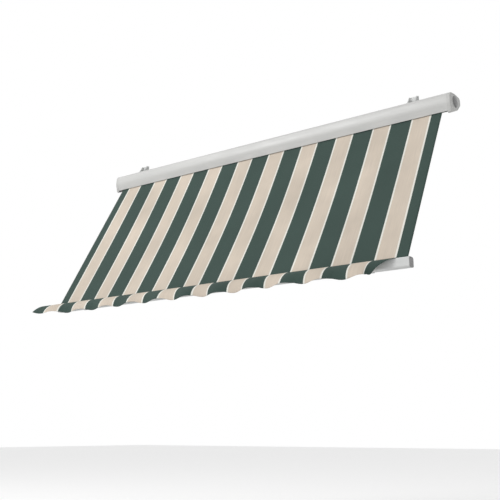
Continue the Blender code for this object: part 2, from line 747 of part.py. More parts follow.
def make_front_bar(groove_line, paint, plastic, cord):
    """The hollow front bar with its two end caps and the welts in its grooves."""
    add("front_bar", prism([bar_outline(), bar_chamber()], -BAR_HALF, BAR_HALF), groove_line, paint)
    for side, sign in SIDES.items():
        face = sign * (BAR_HALF + GAP)
        plate = prism([bar_outline()], face, sign * (BAR_HALF + GAP + BAR_CAP))
        plug = prism([shifted(bar_chamber(), -GAP)], sign * (BAR_HALF - BAR_PLUG), face + sign * BAR_CAP / 2)
        add(f"front_bar_cap_{side}", combined(plate, plug, "UNION"), groove_line, plastic)
    welts = {
        "cover_welt": (-COVER_HALF, COVER_HALF, 0),
        "valance_welt": (VALANCE_LEFT, VALANCE_RIGHT, -VALANCE_GROOVE),
    }
    for name, (low, high, centre) in welts.items():
        profile = [(WELT_RADIUS, low), (WELT_RADIUS, high)]
        add(name, turned(profile, centre=(centre, -GROOVE_DEPTH), sides=8), groove_line, cord)


def make_wrist_bracket(side, slope_plane, paint, steel):
    """A wrist's fork, saddled on the front bar's top and back, with its pin."""
    sign = SIDES[side]
    top = ARM_LEVEL + EAR_TOP
    bottom = ARM_LEVEL - EAR_TOP
    tip = WRIST_REACH + BRACKET_HEAD_RADIUS * 2
    turn_centre = (BAR_BACK - BAR_TOP_RADIUS, -BAR_TOP_RADIUS)
    seat = arc(turn_centre, BAR_TOP_RADIUS + GAP, 0, 90, 6)
    tilt = radians(SLOPE)
    lowest = (bottom + (BAR_BACK + GAP) * sin(tilt)) / cos(tilt)
    highest = (GAP * cos(tilt) - top) / sin(tilt)
    seat = [(BAR_BACK + GAP, lowest)] + seat + [(highest, GAP)]
    section = [level_to_slope(*point) for point in seat]
    section += [
        (tip, top), (tip, ARM_LEVEL + EAR_UNDER), (WRIST_SADDLE, ARM_LEVEL + EAR_UNDER),
        (WRIST_SADDLE, ARM_LEVEL - EAR_UNDER), (tip, ARM_LEVEL - EAR_UNDER), (tip, bottom),
    ]
    centre = sign * SHOULDER_SPREAD
    half = WRIST_HALF_WIDTH
    base = WRIST_SADDLE - WRIST_REACH
    deep = -BAR_HEIGHT * 2
    flipped = [(across, -up) for across, up in bracket_head(BRACKET_HEAD_RADIUS, -base, -half, half)]
    plan = flipped + [(half, base), (half, deep), (-half, deep), (-half, base)]
    loops = [plan, circle((0, 0), PIN_HOLE)]
    loops = [[(centre + across, WRIST_UP + up) for across, up in loop] for loop in loops]
    section = [(GROOVE_UP + up, out) for up, out in section]
    body = prism([section], centre - half * 2, centre + half * 2)
    upright = prism(loops, bottom * 2, -bottom, "Z")
    add(f"wrist_bracket_{side}", combined(body, upright, "INTERSECT"), slope_plane, paint)
    make_pin(f"wrist_pin_{side}", bottom, top, (centre, WRIST_UP), slope_plane, steel)


def valance_length(across):
    """How far the valance hangs at a place along the bar, by its scalloped edge."""
    phase = (across - VALANCE_LEFT) / SCALLOP + SCALLOP_START
    return VALANCE_DROP + SCALLOP_RISE * abs(sin(pi * phase))


def make_valance(groove_line, light, dark):
    """The scalloped valance, standing out from its groove and bending down, cut on the slant at its right."""
    quarter = STRIPE_PAIR / 8
    count = round((VALANCE_RIGHT - VALANCE_LEFT) / quarter)
    columns = [VALANCE_LEFT + (VALANCE_RIGHT - VALANCE_LEFT) * i / count for i in range(count + 1)]
    shift = STRIPE_PAIR / 2
    steps = 5

    def path_of(across):
        near_end = max(0, 1 - (VALANCE_RIGHT - across) / STRIPE_PAIR)
        length = valance_length(across)
        swing = FLUTTER * sin(2 * pi * (across - VALANCE_LEFT) / SCALLOP)
        path = [(across, back - VALANCE_GROOVE, rise) for back, rise in VALANCE_ROOT]
        back, rise = path[-1][1:]
        for step in range(steps):
            share = (step + 0.5) / steps
            fall = radians(FLARE_START + (FLARE_END - FLARE_START + swing) * share)
            back -= cos(fall) * length / steps
            rise -= sin(fall) * length / steps
            path.append((across - TAPER * near_end * (step + 1) / steps, back, rise))
        return path

    add("valance", sheet(columns, path_of, shift), groove_line, light, dark)


def make_wall_bracket(side, pitch_axis, paint, steel):
    """A wall plate with two slotted ears, the pitch bolt through them and the lock bolt in their slots."""
    middle = BRACKET_PLACES[side]
    half = PLATE_WIDTH / 2
    holes = []
    for across in (middle - half + WALL_HOLE_INSET, middle + half - WALL_HOLE_INSET):
        for level in (PLATE_TOP - WALL_HOLE_INSET, PLATE_FOOT + WALL_HOLE_INSET):
            holes.append(circle((across, level), WALL_HOLE_RADIUS, 12))
    plate = [(middle - half, PLATE_FOOT), (middle + half, PLATE_FOOT)]
    plate += [(middle + half, PLATE_TOP), (middle - half, PLATE_TOP)]
    body = prism([plate], PIVOT_OUT - PLATE, PIVOT_OUT, "Y")
    inside = PIVOT_OUT - PLATE / 2
    rest = -90 + LOCK_LEAN
    ear_top = PLATE_TOP - PLATE / 4
    ear = arc((0, 0), WALL_HEAD_RADIUS, *EAR_ROUND, 6)
    ear += arc((0, 0), SECTOR_RADIUS, rest - PITCH_UP - SECTOR_BELOW, rest + SECTOR_ABOVE, 8)
    ear += [(inside, PLATE_FOOT + PLATE), (inside, ear_top), (inside - PLATE * 2, ear_top)]
    slot_half = LOCK_RADIUS + PIN_PLAY
    play = degrees(GAP / LOCK_THROW)
    first = rest - PITCH_UP - play
    last = rest + PITCH_DOWN + play
    slot = arc((0, 0), LOCK_THROW + slot_half, first, last, 6)
    end = (LOCK_THROW * cos(radians(last)), LOCK_THROW * sin(radians(last)))
    slot += arc(end, slot_half, last, last + 180, 4)[1:-1]
    slot += arc((0, 0), LOCK_THROW - slot_half, last, first, 6)
    start = (LOCK_THROW * cos(radians(first)), LOCK_THROW * sin(radians(first)))
    slot += arc(start, slot_half, first + 180, first + 360, 4)[1:-1]
    for sign in (-1, 1):
        inner = middle + sign * (LUG_WIDTH / 2 + SIDE_PLAY)
        loops = [ear, circle((0, 0), PIN_HOLE), slot]
        body = combined(body, prism(loops, inner, inner + sign * WALL_EAR), "UNION")
    for hole in holes:
        body = combined(body, prism([hole], PIVOT_OUT - PLATE * 2, PIVOT_OUT + PLATE, "Y"), "DIFFERENCE")
    add(f"wall_bracket_{side}", body, pitch_axis, paint)
    outside = LUG_WIDTH / 2 + SIDE_PLAY + WALL_EAR + GAP
    make_bolt(f"pivot_bolt_{side}", PIN_RADIUS, middle, outside, (0, 0), pitch_axis, steel)
    lock = (LOCK_THROW * cos(radians(rest)), LOCK_THROW * sin(radians(rest)))
    make_bolt(f"lock_bolt_{side}", LOCK_RADIUS, middle, outside, lock, pitch_axis, steel)


def make_bolt(name, radius, middle, outside, place, parent, steel):
    """A bolt along X through a bracket, with a head at one side and a nut at the other."""
    head = radius + PIN_HEAD
    profile = [
        (head, middle - outside - BOLT_HEAD), (head, middle - outside), (radius, middle - outside),
        (radius, middle + outside), (head, middle + outside), (head, middle + outside + BOLT_HEAD),
    ]
    add(name, turned(profile, centre=place), parent, steel)


def make_tilt_lug(side, pitch_axis, metal):
    """The block between a wall bracket's ears, seated on the hood's top and back."""
    middle = BRACKET_PLACES[side]
    rest = radians(-90 + LOCK_LEAN)
    lock = (LOCK_THROW * cos(rest), LOCK_THROW * sin(rest))
    lip = (PIVOT_OUT - LIP_OUT, -LIP_DROP)
    seat = [(lip[0] + back, lip[1] + rise) for back, rise in shifted(hood_path(), GAP)]
    toe = lip[0] + BACK_TOP[0] - LUG_TOE_REACH - BACK_RADIUS
    crown = lip[1] + CROWN[1]
    heel = lip[0] + BACK_TOP[0]
    block = arc((0, 0), LUG_HEAD_RADIUS, 0, 180, 8)
    block += [(-LUG_HEAD_RADIUS, crown + LUG_TOE * 2), (toe, crown + LUG_TOE), (toe, crown - LUG_TOE * 2)]
    block += [(heel, lip[1] + BACK_TOP[1] - BACK_RADIUS), (lock[0] + LOCK_BOSS, lock[1] - LOCK_BOSS)]
    loops = [block, circle((0, 0), PIN_HOLE), circle(lock, LOCK_RADIUS + GAP)]
    body = prism(loops, middle - LUG_WIDTH / 2, middle + LUG_WIDTH / 2)
    hood = prism([seat], middle - LUG_WIDTH, middle + LUG_WIDTH)
    add(f"tilt_lug_{side}", combined(body, hood, "DIFFERENCE"), pitch_axis, metal)


def build():
    """The whole awning, on its empties."""
    for old in list(bpy.data.objects):
        bpy.data.objects.remove(old)
    hood_paint = material("hood_paint", (0.62, 0.62, 0.60), 0.45, 0.1)
    cap_paint = material("cap_paint", (0.36, 0.36, 0.35), 0.5, 0.1)
    bar_paint = material("bar_paint", (0.66, 0.66, 0.64), 0.45, 0.1)
    arm_paint = material("arm_paint", (0.70, 0.70, 0.68), 0.45, 0.1)
    cast_metal = material("cast_metal", (0.55, 0.55, 0.55), 0.5, 0.7)
    steel = material("zinc_steel", (0.55, 0.56, 0.57), 0.35, 0.9)
    plastic = material("grey_plastic", (0.20, 0.20, 0.20), 0.6, 0.0)
    motor_metal = material("motor_metal", (0.40, 0.41, 0.42), 0.45, 0.7)
    light = material("beige_cloth", (0.64, 0.56, 0.43), 0.85, 0.0)
    dark = material("green_cloth", (0.07, 0.10, 0.09), 0.85, 0.0)
    pitch_axis = add_empty("pitch_axis", (0, -PIVOT_OUT, 0), (0, 0, 0), None)
    lip_line = add_empty("lip_line", (0, PIVOT_OUT - LIP_OUT, -LIP_DROP), (0, 0, 0), pitch_axis)
    slope_plane = add_empty("slope_plane", (0, 0, 0), (SLOPE, 0, 0), lip_line)
    roller_axis = add_empty("roller_axis", (0, ROLLER_UP, ROLLER_LEVEL), (0, 0, 0), slope_plane)
    groove_line = add_empty("groove_line", (0, *slope_to_level(GROOVE_UP, 0)), (0, 0, 0), lip_line)
    make_hood(lip_line, hood_paint)
    for side in SIDES:
        make_end_cap(side, lip_line, cap_paint)
        make_wall_bracket(side, pitch_axis, bar_paint, steel)
        make_tilt_lug(side, pitch_axis, cast_metal)
        make_shoulder_bracket(side, slope_plane, cast_metal, steel)
        make_arm(side, slope_plane, (arm_paint, cast_metal, steel))
        make_wrist_bracket(side, slope_plane, cast_metal, steel)
    make_roller(roller_axis, steel, plastic)
    make_motor(roller_axis, motor_metal)
    make_bush(roller_axis, plastic)
    make_cover(slope_plane, light, dark)
    make_front_bar(groove_line, bar_paint, plastic, light)
    make_valance(groove_line, light, dark)


build()
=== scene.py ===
"""The finished look of a folding arm awning: its striped cover and valance, paint, metal and stage."""
import json
from math import cos, pi, radians, sin

import bmesh
import bpy
from mathutils import Matrix, Vector


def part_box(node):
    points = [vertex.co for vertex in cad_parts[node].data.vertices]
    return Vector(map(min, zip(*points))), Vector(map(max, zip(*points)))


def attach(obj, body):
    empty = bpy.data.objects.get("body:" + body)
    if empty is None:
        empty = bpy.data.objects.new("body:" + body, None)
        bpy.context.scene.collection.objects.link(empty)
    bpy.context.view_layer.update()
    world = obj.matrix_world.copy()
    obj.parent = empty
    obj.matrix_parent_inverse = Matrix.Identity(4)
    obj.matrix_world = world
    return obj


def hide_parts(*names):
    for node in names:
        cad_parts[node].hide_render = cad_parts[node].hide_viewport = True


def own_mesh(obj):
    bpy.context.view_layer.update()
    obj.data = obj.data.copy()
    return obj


bl_info = {
    "name": "Folding arm awning",
    "version": (1, 0, 0),
    "blender": (4, 5, 0),
    "location": "3D View > Sidebar > Awning",
    "description": "Dresses the frame of a folding arm awning with its cloth, finishes and stage",
    "category": "Object",
}

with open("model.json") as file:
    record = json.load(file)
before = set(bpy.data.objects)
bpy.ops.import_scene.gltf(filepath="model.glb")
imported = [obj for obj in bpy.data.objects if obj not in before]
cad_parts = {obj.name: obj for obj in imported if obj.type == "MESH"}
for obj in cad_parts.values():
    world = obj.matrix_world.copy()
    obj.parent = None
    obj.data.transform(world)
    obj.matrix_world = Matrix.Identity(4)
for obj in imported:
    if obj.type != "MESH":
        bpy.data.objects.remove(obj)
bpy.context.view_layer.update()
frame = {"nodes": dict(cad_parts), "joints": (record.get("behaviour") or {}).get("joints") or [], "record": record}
JOINTS = {joint["name"]: joint for joint in frame["joints"]}


def corners(node):
    """The lowest and highest corner of a node's box."""
    low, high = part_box(node)
    return Vector(low), Vector(high)


def box_centre(node):
    """The middle of a node's box."""
    low, high = corners(node)
    return (low + high) / 2


# The cover's plane, from the shoulder's axis, with its line on the roller and its line in the bar
OUT = Vector(JOINTS["left_shoulder"]["axis"])
UP = Vector((0, OUT.z, -OUT.y))
ROLLER = Vector(JOINTS["roller_spin"]["pos_m"])
TUBE_LOW, TUBE_HIGH = corners("roller_tube")
TUBE_RADIUS = (TUBE_HIGH.z - TUBE_LOW.z) / 2
CLOTH = 0.0006
CLOTH_LIFT = 0.0009
WRAP_RADIUS = TUBE_RADIUS + CLOTH_LIFT
COVER_TOP = ROLLER + OUT * WRAP_RADIUS
COVER_HALF = corners("cover")[1].x
BAR_TOP = corners("front_bar")[1].z
GROOVE = Vector((0, box_centre("cover_welt").y, BAR_TOP))
VALANCE_WELT = box_centre("valance_welt")
VALANCE_ENDS = (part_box("valance_welt")[0][0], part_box("valance_welt")[1][0])

# The hood's lip below the roller, and how far the bar travels up the slope until it is closed
LIP_FROM_ROLLER = 0.122
SLOPE_LENGTH = (COVER_TOP - GROOVE).dot(UP)


class AwningCloth(bpy.types.PropertyGroup):
    """Sizes and colours of the cover and the valance."""
    pair: bpy.props.FloatProperty(
        name="Stripe pair",
        description="Width of one dark and one light stripe",
        default=0.29,
        unit="LENGTH",
    )
    dark_share: bpy.props.FloatProperty(
        name="Dark share",
        description="Share of a pair that is dark",
        default=0.515,
        subtype="FACTOR",
    )
    line: bpy.props.FloatProperty(
        name="Line",
        description="Width of the pale line beside each dark stripe",
        default=0.012,
        unit="LENGTH",
    )
    sag: bpy.props.FloatProperty(
        name="Sag",
        description="Depth of the cover's sag at its middle",
        default=0.020,
        unit="LENGTH",
    )
    green: bpy.props.FloatVectorProperty(
        name="Green",
        description="Colour of the dark stripes",
        default=(0.048, 0.082, 0.070),
        subtype="COLOR",
    )
    beige: bpy.props.FloatVectorProperty(
        name="Beige",
        description="Colour of the light stripes",
        default=(0.700, 0.610, 0.510),
        subtype="COLOR",
    )
    pale: bpy.props.FloatVectorProperty(
        name="Pale line",
        description="Colour of the thin lines",
        default=(0.900, 0.890, 0.820),
        subtype="COLOR",
    )
    valance_pair: bpy.props.FloatProperty(
        name="Valance pair",
        description="Width of a stripe pair on the valance",
        default=0.2905,
        unit="LENGTH",
    )
    drop: bpy.props.FloatProperty(
        name="Valance drop",
        description="Length of the valance between its lobes",
        default=0.128,
        unit="LENGTH",
    )
    lobe: bpy.props.FloatProperty(
        name="Lobe",
        description="How much longer the valance is at a lobe",
        default=0.016,
        unit="LENGTH",
    )
    scallop: bpy.props.FloatProperty(
        name="Scallop",
        description="Width of one scallop",
        default=0.2636,
        unit="LENGTH",
    )


class AwningFinish(bpy.types.PropertyGroup):
    """Colours of the painted and bare metal."""
    hood: bpy.props.FloatVectorProperty(
        name="Hood",
        description="Powder coat of the hood",
        default=(0.66, 0.66, 0.645),
        subtype="COLOR",
    )
    cap: bpy.props.FloatVectorProperty(
        name="End caps",
        description="Powder coat of the end caps",
        default=(0.60, 0.60, 0.585),
        subtype="COLOR",
    )
    bar: bpy.props.FloatVectorProperty(
        name="Bar",
        description="Powder coat of the front bar and the arms",
        default=(0.70, 0.71, 0.70),
        subtype="COLOR",
    )
    steel: bpy.props.FloatVectorProperty(
        name="Steel",
        description="Zinc plated steel",
        default=(0.56, 0.57, 0.58),
        subtype="COLOR",
    )


class Nodes:
    """A material's node tree, filled by short calls."""

    def __init__(self, name, roughness, metallic=0.0):
        self.material = bpy.data.materials.new(name)
        self.material.use_nodes = True
        self.tree = self.material.node_tree
        self.shader = self.tree.nodes["Principled BSDF"]
        self.shader.inputs["Roughness"].default_value = roughness
        self.shader.inputs["Metallic"].default_value = metallic

    def add(self, kind, **settings):
        node = self.tree.nodes.new(kind)
        for key, value in settings.items():
            setattr(node, key, value)
        return node

    def link(self, output, socket):
        self.tree.links.new(output, socket)

    def fill(self, socket, value):
        if hasattr(value, "is_output"):
            self.link(value, socket)
        else:
            socket.default_value = value

    def math(self, operation, first, second=0.0):
        node = self.add("ShaderNodeMath", operation=operation)
        self.fill(node.inputs[0], first)
        self.fill(node.inputs[1], second)
        return node.outputs[0]

    def mix(self, share, first, second):
        node = self.add("ShaderNodeMix", data_type="RGBA")
        self.fill(node.inputs["Factor"], share)
        self.fill(node.inputs["A"], first)
        self.fill(node.inputs["B"], second)
        return node.outputs["Result"]

    def place(self):
        return self.add("ShaderNodeTexCoord").outputs["Object"]

    def stretched(self, vector, scale):
        node = self.add("ShaderNodeMapping")
        node.inputs["Scale"].default_value = scale
        self.link(vector, node.inputs["Vector"])
        return node.outputs["Vector"]

    def noise(self, vector, scale, detail=4.0):
        node = self.add("ShaderNodeTexNoise")
        node.inputs["Scale"].default_value = scale
        node.inputs["Detail"].default_value = detail
        self.link(vector, node.inputs["Vector"])
        return node.outputs["Fac"]

    def wave(self, vector, scale, direction):
        node = self.add("ShaderNodeTexWave", bands_direction=direction)
        node.inputs["Scale"].default_value = scale
        node.inputs["Distortion"].default_value = 0.6
        self.link(vector, node.inputs["Vector"])
        return node.outputs["Fac"]

    def ramp(self, value, low, high):
        node = self.add("ShaderNodeMapRange")
        node.inputs["From Min"].default_value = 0.3
        node.inputs["From Max"].default_value = 0.7
        node.inputs["To Min"].default_value = low
        node.inputs["To Max"].default_value = high
        self.link(value, node.inputs["Value"])
        return node.outputs["Result"]

    def bump(self, height, strength, distance):
        node = self.add("ShaderNodeBump")
        node.inputs["Strength"].default_value = strength
        node.inputs["Distance"].default_value = distance
        self.link(height, node.inputs["Height"])
        self.link(node.outputs["Normal"], self.shader.inputs["Normal"])

    def colour(self, output):
        self.link(output, self.shader.inputs["Base Color"])

    def rough(self, output):
        self.link(output, self.shader.inputs["Roughness"])


def scaled(colour, share):
    """A colour made lighter or darker, with its alpha."""
    return tuple(channel * share for channel in colour) + (1.0,)


def striped_cloth(name, cloth, pair, shift):
    """Woven acrylic in stripes that follow the cloth's own width, with pale lines and a fine weave."""
    nodes = Nodes(name, 0.88)
    nodes.shader.inputs["Sheen Weight"].default_value = 0.05
    nodes.shader.inputs["Sheen Roughness"].default_value = 0.6
    nodes.shader.inputs["Specular IOR Level"].default_value = 0.25
    uv = nodes.add("ShaderNodeUVMap", uv_map="cloth").outputs["UV"]
    across = nodes.add("ShaderNodeSeparateXYZ")
    nodes.link(uv, across.inputs[0])
    turns = nodes.math("DIVIDE", nodes.math("SUBTRACT", across.outputs["X"], shift), pair)
    nearest = nodes.math("ROUND", turns)
    distance = nodes.math("MULTIPLY", nodes.math("ABSOLUTE", nodes.math("SUBTRACT", turns, nearest)), pair)
    dark_half = pair * cloth.dark_share / 2
    is_dark = nodes.math("LESS_THAN", distance, dark_half)
    in_line = nodes.math("LESS_THAN", distance, dark_half + cloth.line)
    warp = nodes.noise(nodes.stretched(uv, (260.0, 5.0, 1.0)), 1.0)
    fade = nodes.noise(uv, 2.4, 3.0)
    shade = nodes.math("MULTIPLY", nodes.ramp(warp, 0.95, 1.05), nodes.ramp(fade, 0.93, 1.07))
    beige = nodes.mix(nodes.ramp(fade, 0.0, 1.0), scaled(cloth.beige, 1.0), scaled(cloth.beige, 1.06))
    light = nodes.mix(in_line, beige, scaled(cloth.pale, 1.0))
    striped = nodes.mix(is_dark, light, scaled(cloth.green, 1.0))
    toned = nodes.add("ShaderNodeHueSaturation")
    nodes.link(shade, toned.inputs["Value"])
    nodes.link(striped, toned.inputs["Color"])
    nodes.colour(toned.outputs["Color"])
    nodes.rough(nodes.ramp(warp, 0.80, 0.94))
    weft = nodes.wave(uv, 210.0, "Y")
    weave = nodes.math("ADD", nodes.wave(uv, 210.0, "X"), weft)
    slubs = nodes.math("ADD", weave, nodes.math("MULTIPLY", warp, 1.5))
    nodes.bump(slubs, 0.35, 0.0004)
    return nodes.material


def powder_coat(name, colour, roughness):
    """Powder coated aluminium: fine orange peel, faint clouding, and a trace of dust in faint streaks along the
    part.
    """
    nodes = Nodes(name, roughness)
    nodes.shader.inputs["Coat Weight"].default_value = 0.15
    nodes.shader.inputs["Coat Roughness"].default_value = 0.35
    place = nodes.place()
    cloud = nodes.noise(nodes.stretched(place, (1.0, 6.0, 6.0)), 1.6)
    grime = nodes.noise(nodes.stretched(place, (0.6, 8.0, 8.0)), 9.0, 6.0)
    tone = nodes.mix(nodes.ramp(cloud, 0.0, 1.0), scaled(colour, 0.95), scaled(colour, 1.03))
    nodes.colour(nodes.mix(nodes.ramp(grime, 0.0, 0.10), tone, scaled(colour, 0.62)))
    nodes.rough(nodes.ramp(grime, roughness - 0.06, roughness + 0.10))
    nodes.bump(nodes.noise(place, 900.0, 2.0), 0.12, 0.0003)
    return nodes.material


def cast_metal(name, colour, roughness):
    """Cast aluminium with a grainy skin and darker and lighter patches."""
    nodes = Nodes(name, roughness, 0.75)
    place = nodes.place()
    grain = nodes.noise(place, 420.0, 6.0)
    patch = nodes.noise(place, 38.0, 3.0)
    nodes.colour(nodes.mix(nodes.ramp(patch, 0.0, 1.0), scaled(colour, 0.86), scaled(colour, 1.06)))
    nodes.rough(nodes.ramp(grain, roughness - 0.05, roughness + 0.12))
    nodes.bump(grain, 0.25, 0.0004)
    return nodes.material


def plated_steel(name, colour, roughness):
    """Zinc plated steel with a drawn grain along the part."""
    nodes = Nodes(name, roughness, 0.95)
    place = nodes.place()
    grain = nodes.noise(nodes.stretched(place, (30.0, 700.0, 700.0)), 1.0)
    blush = nodes.noise(place, 60.0, 4.0)
    nodes.colour(nodes.mix(nodes.ramp(blush, 0.0, 1.0), scaled(colour, 0.90), scaled(colour, 1.08)))
    nodes.rough(nodes.ramp(grain, roughness - 0.06, roughness + 0.14))
    nodes.bump(grain, 0.15, 0.0002)
    return nodes.material


def moulded(name, colour, roughness):
    """Moulded plastic or rubber with a fine spark texture."""
    nodes = Nodes(name, roughness)
    place = nodes.place()
    speck = nodes.noise(place, 800.0, 2.0)
    scuff = nodes.noise(place, 30.0, 6.0)
    nodes.colour(nodes.mix(nodes.ramp(scuff, 0.0, 0.3), scaled(colour, 1.0), scaled(colour, 1.5)))
    nodes.rough(nodes.ramp(scuff, roughness - 0.05, roughness + 0.08))
    nodes.bump(speck, 0.15, 0.0002)
    return nodes.material


def surface(name, rows, widths, lengths):
    """A sheet of faces through rows of points, with its flat place in metres as its UV map."""
    across = len(rows[0])
    points = [point for row in rows for point in row]
    faces = []
    for j in range(len(rows) - 1):
        for i in range(across - 1):
            first = j * across + i
            faces.append((first, first + 1, first + across + 1, first + across))
    mesh = bpy.data.meshes.new(name)
    mesh.from_pydata(points, [], faces)
    layer = mesh.uv_layers.new(name="cloth")
    for loop in mesh.loops:
        j, i = divmod(loop.vertex_index, across)
        layer.data[loop.index].uv = (widths[j][i], lengths[j][i])
    piece = bpy.data.objects.new(name, mesh)
    bpy.context.scene.collection.objects.link(piece)
    mesh.shade_smooth()
    return piece


def thicken(piece, thickness):
    """Gives a sheet its thickness, equally on both sides."""
    bpy.ops.object.select_all(action="DESELECT")
    bpy.context.view_layer.objects.active = piece
    piece.select_set(True)
    solid = piece.modifiers.new("thickness", "SOLIDIFY")
    solid.thickness = thickness
    solid.offset = 0
    bpy.ops.object.modifier_apply(modifier=solid.name)
    return piece


def wrinkles(across, along):
    """Slack lines in the stretched cover: long shallow folds that fade towards its ends."""
    folds = sin(across * 9.1 + 2.0 * sin(along * 1.7)) + 0.6 * sin(across * 17.3 + 1.3)
    return 0.0011 * folds * sin(pi * along) ** 0.7


class AWNING_OT_cover(bpy.types.Operator):
    """The striped cover, stretched from the roller to the front bar, and its turns on the roller"""
    bl_idname = "awning.cover"
    bl_label = "Cover"

    COLUMNS = 174
    ROWS = 84
    TURN_COLUMNS = 20
    TURN_STEPS = 48
    TURN_SHARE = 0.985
    TURN_INSET = 0.0002
    MOUTH_BACK = 0.0003
    MOUTH_RISE = 0.0008
    SINK = 0.0012
    TUCKED = 0.002

    def execute(self, context):
        cloth = context.scene.awning_cloth
        self.material = striped_cloth("canopy cloth", cloth, cloth.pair, 0.0)
        self.make_sheet(cloth)
        self.make_turns()
        return {"FINISHED"}

    def make_sheet(self, cloth):
        """The slope of the cover with its sag, ending upright in the bar's groove."""
        columns = [-COVER_HALF + 2 * COVER_HALF * i / self.COLUMNS for i in range(self.COLUMNS + 1)]
        mouth = GROOVE + Vector((0, self.MOUTH_BACK, self.MOUTH_RISE))
        sink = GROOVE - Vector((0, 0, self.SINK))
        lip_share = LIP_FROM_ROLLER / SLOPE_LENGTH
        rows = []
        lengths = []
        for j in range(self.ROWS):
            share = j / self.ROWS
            free = max(0.0, (share - lip_share) / (1 - lip_share))
            flat = COVER_TOP - UP * SLOPE_LENGTH * share
            row = []
            for across in columns:
                fullness = 1 - (across / COVER_HALF) ** 2
                sag = cloth.sag * fullness * sin(pi * free) - wrinkles(across, free) * fullness
                row.append(Vector((across, flat.y, flat.z)) - OUT * sag)
            rows.append(row)
            lengths.append([SLOPE_LENGTH * share] * len(columns))
        for extra, point in ((0.0, mouth), (self.TUCKED, sink)):
            rows.append([Vector((across, point.y, point.z)) for across in columns])
            lengths.append([SLOPE_LENGTH + extra] * len(columns))
        piece = surface("cover_sheet", rows, [columns] * len(rows), lengths)
        thicken(piece, CLOTH)
        piece.data.materials.append(self.material)
        # Riding the bar keeps the cover in its groove, and any gap at the roller inside the hood
        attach(piece, "front_bar")
        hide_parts("cover")
        flat = (2 * COVER_HALF, SLOPE_LENGTH + self.TUCKED)
        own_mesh(piece)

    def make_turns(self):
        """The last turn left on the roller, which rides round with it."""
        steps = range(self.TURN_COLUMNS + 1)
        columns = [-COVER_HALF + 2 * COVER_HALF * i / self.TURN_COLUMNS for i in steps]
        rows = []
        lengths = []
        turn_length = 2 * pi * WRAP_RADIUS
        radius = WRAP_RADIUS - self.TURN_INSET
        for step in range(self.TURN_STEPS + 1):
            turn = 2 * pi * step / self.TURN_STEPS * self.TURN_SHARE
            spot = ROLLER + OUT * radius * cos(turn) + UP * radius * sin(turn)
            rows.append([Vector((across, spot.y, spot.z)) for across in columns])
            lengths.append([turn_length * step / self.TURN_STEPS] * len(columns))
        piece = surface("cover_turns", rows, [columns] * len(rows), lengths)
        thicken(piece, CLOTH)
        piece.data.materials.append(self.material)
        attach(piece, "roller")
        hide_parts("cover")


class AWNING_OT_valance(bpy.types.Operator):
    """The scalloped valance that stands out from the front bar and bends down"""
    bl_idname = "awning.valance"
    bl_label = "Valance"

    COLUMNS = 300
    ROWS = 22
    START = 8.0
    END = 82.0
    LEFT_SPARE = 0.022
    SIDE_SHIFT = 0.012
    FULLER = 0.10
    SWING = 13.0
    SLOW_SWING = 4.0
    LOBE_START = 0.119
    TAPER = 0.125
    TAPER_REACH = 0.17
    SHORTENED = 0.35
    FLARE_REACH = 0.22
    FLARE_LIFT = 26.0
    FLARE_SLIDE = 0.03
    ABOVE_WELT = 0.0032
    ABOVE_BAR = 0.0006
    TURN_BACK = 0.0012
    TURN_RISE = 0.0016
    STEM = 0.003
    ROOT = 0.005
    SPARE = 0.006

    def execute(self, context):
        cloth = context.scene.awning_cloth
        low = VALANCE_ENDS[0] - self.LEFT_SPARE
        high = VALANCE_ENDS[1]
        columns = [low + (high - low) * i / self.COLUMNS for i in range(self.COLUMNS + 1)]
        paths = [self.path(cloth, across) for across in columns]
        rows = [[path[j][0] for path in paths] for j in range(len(paths[0]))]
        lengths = [[path[j][1] for path in paths] for j in range(len(paths[0]))]
        piece = surface("valance_sheet", rows, [columns] * len(rows), lengths)
        thicken(piece, CLOTH)
        shift = cloth.valance_pair / 2 + self.SIDE_SHIFT
        piece.data.materials.append(striped_cloth("valance cloth", cloth, cloth.valance_pair, shift))
        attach(piece, "front_bar")
        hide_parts("valance")
        return {"FINISHED"}

    def path(self, cloth, across):
        """Points and lengths down the valance at one place along the bar."""
        low, high = VALANCE_ENDS
        phase = pi * ((across - low) / cloth.scallop + self.LOBE_START)
        lobe = abs(sin(phase))
        swing = self.SWING * sin(2 * phase + 0.4 * sin(across * 2.1))
        swing += self.SLOW_SWING * sin(across * 5.3 + 1.0)
        near_right = max(0.0, 1 - (high - across) / self.TAPER_REACH)
        near_left = max(0.0, 1 - (across - low) / self.FLARE_REACH)
        fuller = 1 + self.FULLER * across / high
        length = (cloth.drop + cloth.lobe * lobe) * fuller * (1 - self.SHORTENED * near_right ** 2)
        bend = self.END - self.START + swing - self.FLARE_LIFT * near_left
        slide = self.TAPER * near_right + self.FLARE_SLIDE * near_left ** 2
        back = VALANCE_WELT.y
        rise = BAR_TOP + self.ABOVE_BAR
        path = [
            (Vector((across, back, VALANCE_WELT.z + self.ABOVE_WELT)), 0.0),
            (Vector((across, back, rise)), self.STEM),
        ]
        back -= self.TURN_BACK
        rise += self.TURN_RISE
        path.append((Vector((across, back, rise)), self.ROOT))
        step = length / self.ROWS
        for j in range(self.ROWS):
            fall = radians(self.START + bend * (j + 0.5) / self.ROWS)
            back -= cos(fall) * step
            rise -= sin(fall) * step
            spot = Vector((across - slide * (j + 1) / self.ROWS, back, rise))
            path.append((spot, self.ROOT + step * (j + 1)))
        return path


